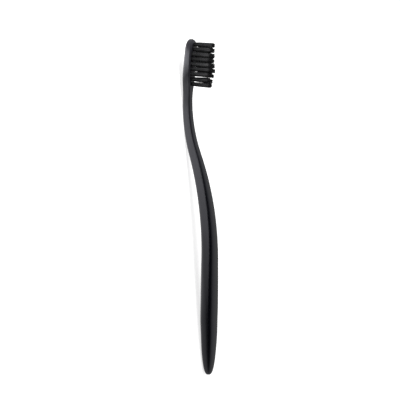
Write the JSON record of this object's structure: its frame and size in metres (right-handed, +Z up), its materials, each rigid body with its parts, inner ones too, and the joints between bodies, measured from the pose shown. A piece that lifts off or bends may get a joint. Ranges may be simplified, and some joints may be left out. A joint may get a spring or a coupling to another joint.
{
  "type": "manual toothbrush",
  "caption": "Slim manual toothbrush: S-bent tapered handle and narrow oval head with rows of nylon bristle tufts held in blind holes by metal anchors, for cleaning teeth.",
  "frame": {"origin": "middle of the brush's box, on the surface that it lies on", "axes": "+X along the brush towards the toe of the head, +Z up, the way the bristles point, with the back of the neck and of the grip on the surface, and the brush symmetric about Y = 0"},
  "size_m": [0.191, 0.0116, 0.0214],
  "materials": {
    "handle_plastic": "satin moulded",
    "bristle_nylon": "fine filaments",
    "anchor_metal": "stamped"
  },
  "bodies": {
    "handle": {"handle": "handle_plastic", "tuft_anchors": "anchor_metal", "tuft_roots_row1": "bristle_nylon", "tuft_roots_row2": "bristle_nylon", "tuft_roots_row3": "bristle_nylon", "tuft_roots_row4": "bristle_nylon", "tuft_roots_row5": "bristle_nylon", "tuft_roots_row6": "bristle_nylon", "tuft_roots_row7": "bristle_nylon", "tuft_roots_row8": "bristle_nylon", "tuft_roots_row9": "bristle_nylon"},
    "tuft_row1": {"tuft_row1_1": "bristle_nylon", "tuft_row1_2": "bristle_nylon"},
    "tuft_row2": {"tuft_row2_1": "bristle_nylon", "tuft_row2_2": "bristle_nylon", "tuft_row2_3": "bristle_nylon"},
    "tuft_row3": {"tuft_row3_1": "bristle_nylon", "tuft_row3_2": "bristle_nylon", "tuft_row3_3": "bristle_nylon", "tuft_row3_4": "bristle_nylon"},
    "tuft_row4": {"tuft_row4_1": "bristle_nylon", "tuft_row4_2": "bristle_nylon", "tuft_row4_3": "bristle_nylon", "tuft_row4_4": "bristle_nylon"},
    "tuft_row5": {"tuft_row5_1": "bristle_nylon", "tuft_row5_2": "bristle_nylon", "tuft_row5_3": "bristle_nylon", "tuft_row5_4": "bristle_nylon"},
    "tuft_row6": {"tuft_row6_1": "bristle_nylon", "tuft_row6_2": "bristle_nylon", "tuft_row6_3": "bristle_nylon", "tuft_row6_4": "bristle_nylon"},
    "tuft_row7": {"tuft_row7_1": "bristle_nylon", "tuft_row7_2": "bristle_nylon", "tuft_row7_3": "bristle_nylon", "tuft_row7_4": "bristle_nylon"},
    "tuft_row8": {"tuft_row8_1": "bristle_nylon", "tuft_row8_2": "bristle_nylon", "tuft_row8_3": "bristle_nylon"},
    "tuft_row9": {"tuft_row9_1": "bristle_nylon", "tuft_row9_2": "bristle_nylon"}
  },
  "joints": [
    {"name": "tuft_row1_lean", "type": "hinge", "parent": "handle", "child": "tuft_row1", "pos_m": [0.09206, 0, 0.0101], "axis": [0, 1, 0], "range_deg": [-25, 25], "stiffness_Nm_per_rad": 0.0028},
    {"name": "tuft_row2_lean", "type": "hinge", "parent": "handle", "child": "tuft_row2", "pos_m": [0.08928, 0, 0.00967], "axis": [0, 1, 0], "range_deg": [-25, 25], "stiffness_Nm_per_rad": 0.0042},
    {"name": "tuft_row3_lean", "type": "hinge", "parent": "handle", "child": "tuft_row3", "pos_m": [0.08649, 0, 0.00923], "axis": [0, 1, 0], "range_deg": [-25, 25], "stiffness_Nm_per_rad": 0.0056},
    {"name": "tuft_row4_lean", "type": "hinge", "parent": "handle", "child": "tuft_row4", "pos_m": [0.0837, 0, 0.0088], "axis": [0, 1, 0], "range_deg": [-25, 25], "stiffness_Nm_per_rad": 0.0056},
    {"name": "tuft_row5_lean", "type": "hinge", "parent": "handle", "child": "tuft_row5", "pos_m": [0.08092, 0, 0.00836], "axis": [0, 1, 0], "range_deg": [-25, 25], "stiffness_Nm_per_rad": 0.0056},
    {"name": "tuft_row6_lean", "type": "hinge", "parent": "handle", "child": "tuft_row6", "pos_m": [0.07813, 0, 0.00792], "axis": [0, 1, 0], "range_deg": [-25, 25], "stiffness_Nm_per_rad": 0.0056},
    {"name": "tuft_row7_lean", "type": "hinge", "parent": "handle", "child": "tuft_row7", "pos_m": [0.07534, 0, 0.00749], "axis": [0, 1, 0], "range_deg": [-25, 25], "stiffness_Nm_per_rad": 0.0056},
    {"name": "tuft_row8_lean", "type": "hinge", "parent": "handle", "child": "tuft_row8", "pos_m": [0.07256, 0, 0.00705], "axis": [0, 1, 0], "range_deg": [-25, 25], "stiffness_Nm_per_rad": 0.0042},
    {"name": "tuft_row9_lean", "type": "hinge", "parent": "handle", "child": "tuft_row9", "pos_m": [0.06977, 0, 0.00662], "axis": [0, 1, 0], "range_deg": [-25, 25], "stiffness_Nm_per_rad": 0.0028}
  ],
  "couplings": [
    {"joint": "tuft_row1_lean", "follows": "tuft_row5_lean", "ratio": 1},
    {"joint": "tuft_row2_lean", "follows": "tuft_row5_lean", "ratio": 1},
    {"joint": "tuft_row3_lean", "follows": "tuft_row5_lean", "ratio": 1},
    {"joint": "tuft_row4_lean", "follows": "tuft_row5_lean", "ratio": 1},
    {"joint": "tuft_row6_lean", "follows": "tuft_row5_lean", "ratio": 1},
    {"joint": "tuft_row7_lean", "follows": "tuft_row5_lean", "ratio": 1},
    {"joint": "tuft_row8_lean", "follows": "tuft_row5_lean", "ratio": 1},
    {"joint": "tuft_row9_lean", "follows": "tuft_row5_lean", "ratio": 1}
  ]
}
